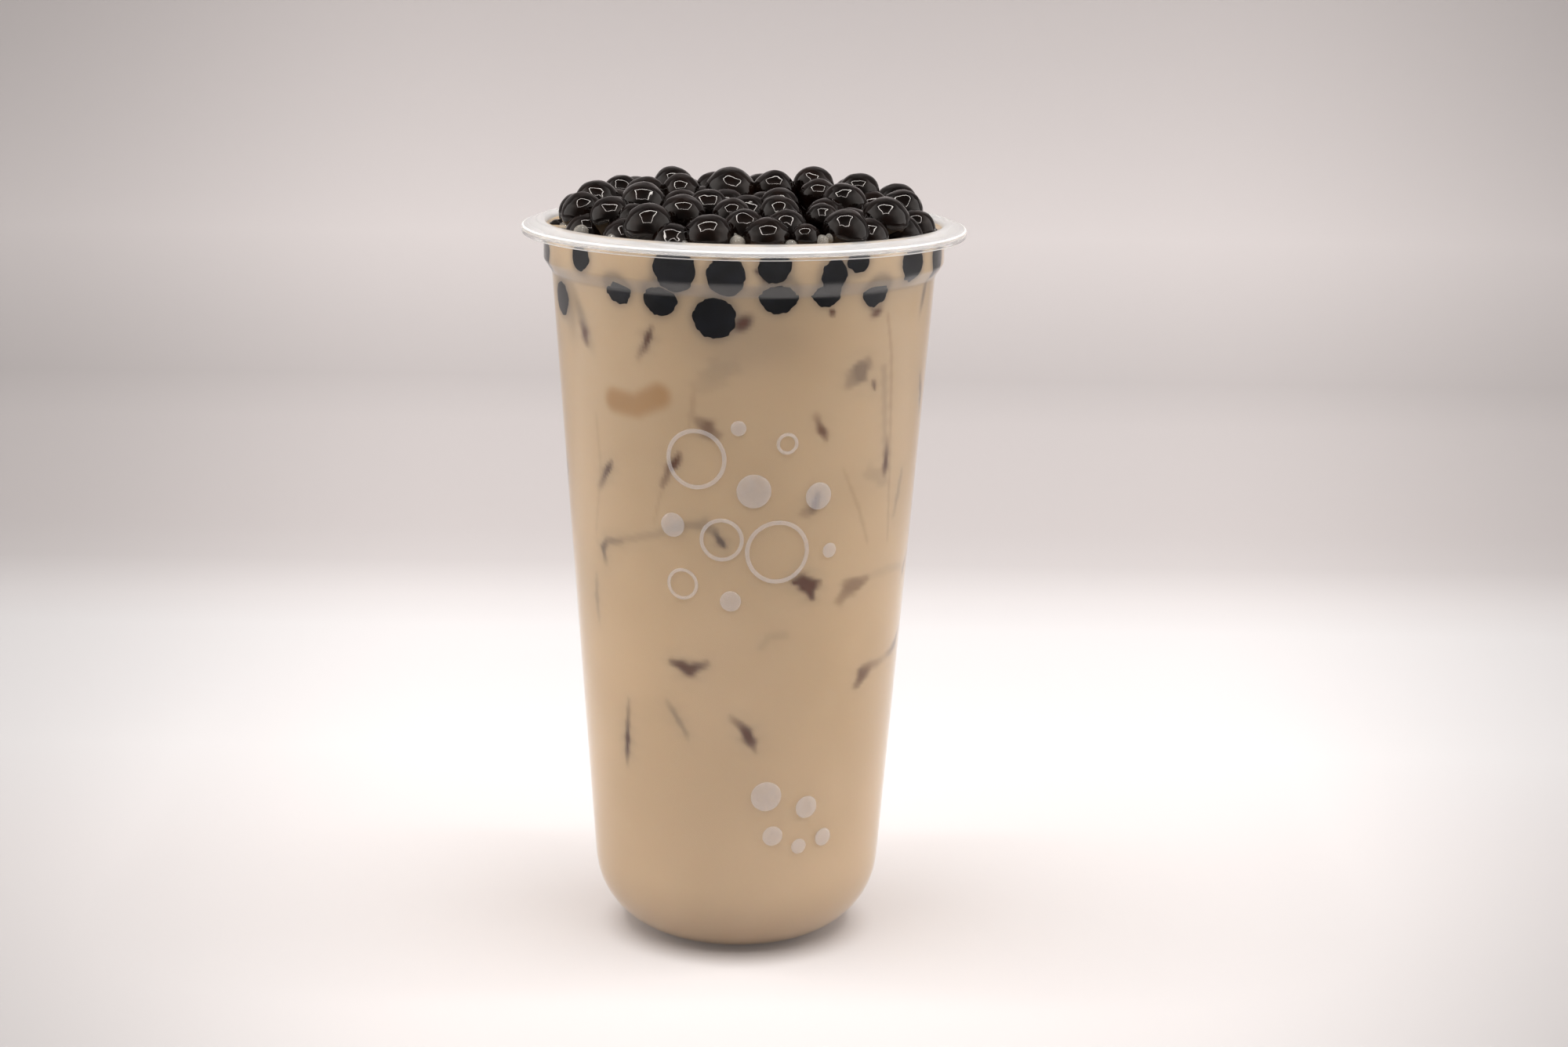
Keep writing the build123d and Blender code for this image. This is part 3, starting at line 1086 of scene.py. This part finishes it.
world = bpy.data.worlds.new("room")
bpy.context.scene.world = world
world.use_nodes = True
tree = world.node_tree
tree.nodes.clear()
way = node(tree, "ShaderNodeTexCoord", output=0)
front = node(tree, "ShaderNodeSeparateXYZ", {}, [way], output=1)
up = node(tree, "ShaderNodeSeparateXYZ", {}, [way], output=2)
opening = front.over(-0.95, -0.2, 1.0, 0.0)
roof = up.over(0.55, 0.95, 0.0, 1.0)
dim = mixed(tree, roof, (1.55, 1.52, 1.51), (0.16, 0.155, 0.15))
dim = mixed(tree, opening, dim, (0.12, 0.117, 0.115))
seen = node(tree, "ShaderNodeLightPath", output=0)
colour = mixed(tree, seen, dim, (0.80, 0.77, 0.77))
finish = node(tree, "ShaderNodeBackground", {}, {"Color": colour, "Strength": 1.0})
node(tree, "ShaderNodeOutputWorld", {}, {"Surface": finish})

lamp_height = 0.62
strip_width = 0.022
strip_energy = 1.05
panel_energy = 1.35
square_near = -0.52
square_far = -0.02
square_half = 0.26
strips = [
    ("near", (0, square_near), 2 * square_half, 0),
    ("far", (0, square_far), 2 * square_half, 0),
    ("left", (-square_half, (square_near + square_far) / 2), square_far - square_near, 90),
    ("right", (square_half, (square_near + square_far) / 2), square_far - square_near, 90),
]
for name, (across, along), length, turn in strips:
    bpy.ops.object.light_add(type="AREA", location=(across, along, lamp_height))
    lamp = bpy.context.object
    lamp.name = "strip_" + name
    lamp.rotation_euler = (0, 0, math.radians(turn))
    lamp.data.shape = "RECTANGLE"
    lamp.data.size = length
    lamp.data.size_y = strip_width
    lamp.data.energy = strip_energy

for side in (-1, 1):
    bpy.ops.object.light_add(type="AREA", location=(0.62 * side, 0.16, 0.26))
    lamp = bpy.context.object
    lamp.name = "panel_left" if side < 0 else "panel_right"
    lamp.rotation_euler = (math.radians(90), 0, math.radians(90 * side + 14 * side))
    lamp.data.shape = "RECTANGLE"
    lamp.data.size = 0.7
    lamp.data.size_y = 0.5
    lamp.data.energy = panel_energy
    lamp.visible_camera = False
    lamp.visible_glossy = False

# ---- The camera -----------------------------------------------------------------------------------
camera_back = 0.6253
camera_height = 0.2302
camera_pitch = 12.51
camera_roll = 0.91
camera_yaw = 0.87
bpy.ops.object.camera_add(location=(0, -camera_back, camera_height))
camera = bpy.context.object
camera.name = "camera"
camera.data.sensor_width = 36
camera.data.lens = 67.2
aim = Matrix.Rotation(math.radians(-camera_yaw), 3, "Z")
aim = aim @ Matrix.Rotation(math.radians(90 - camera_pitch), 3, "X")
aim = aim @ Matrix.Rotation(math.radians(camera_roll), 3, "Z")
camera.rotation_euler = aim.to_euler()
bpy.context.scene.camera = camera

bpy.context.scene.view_settings.view_transform = "Standard"
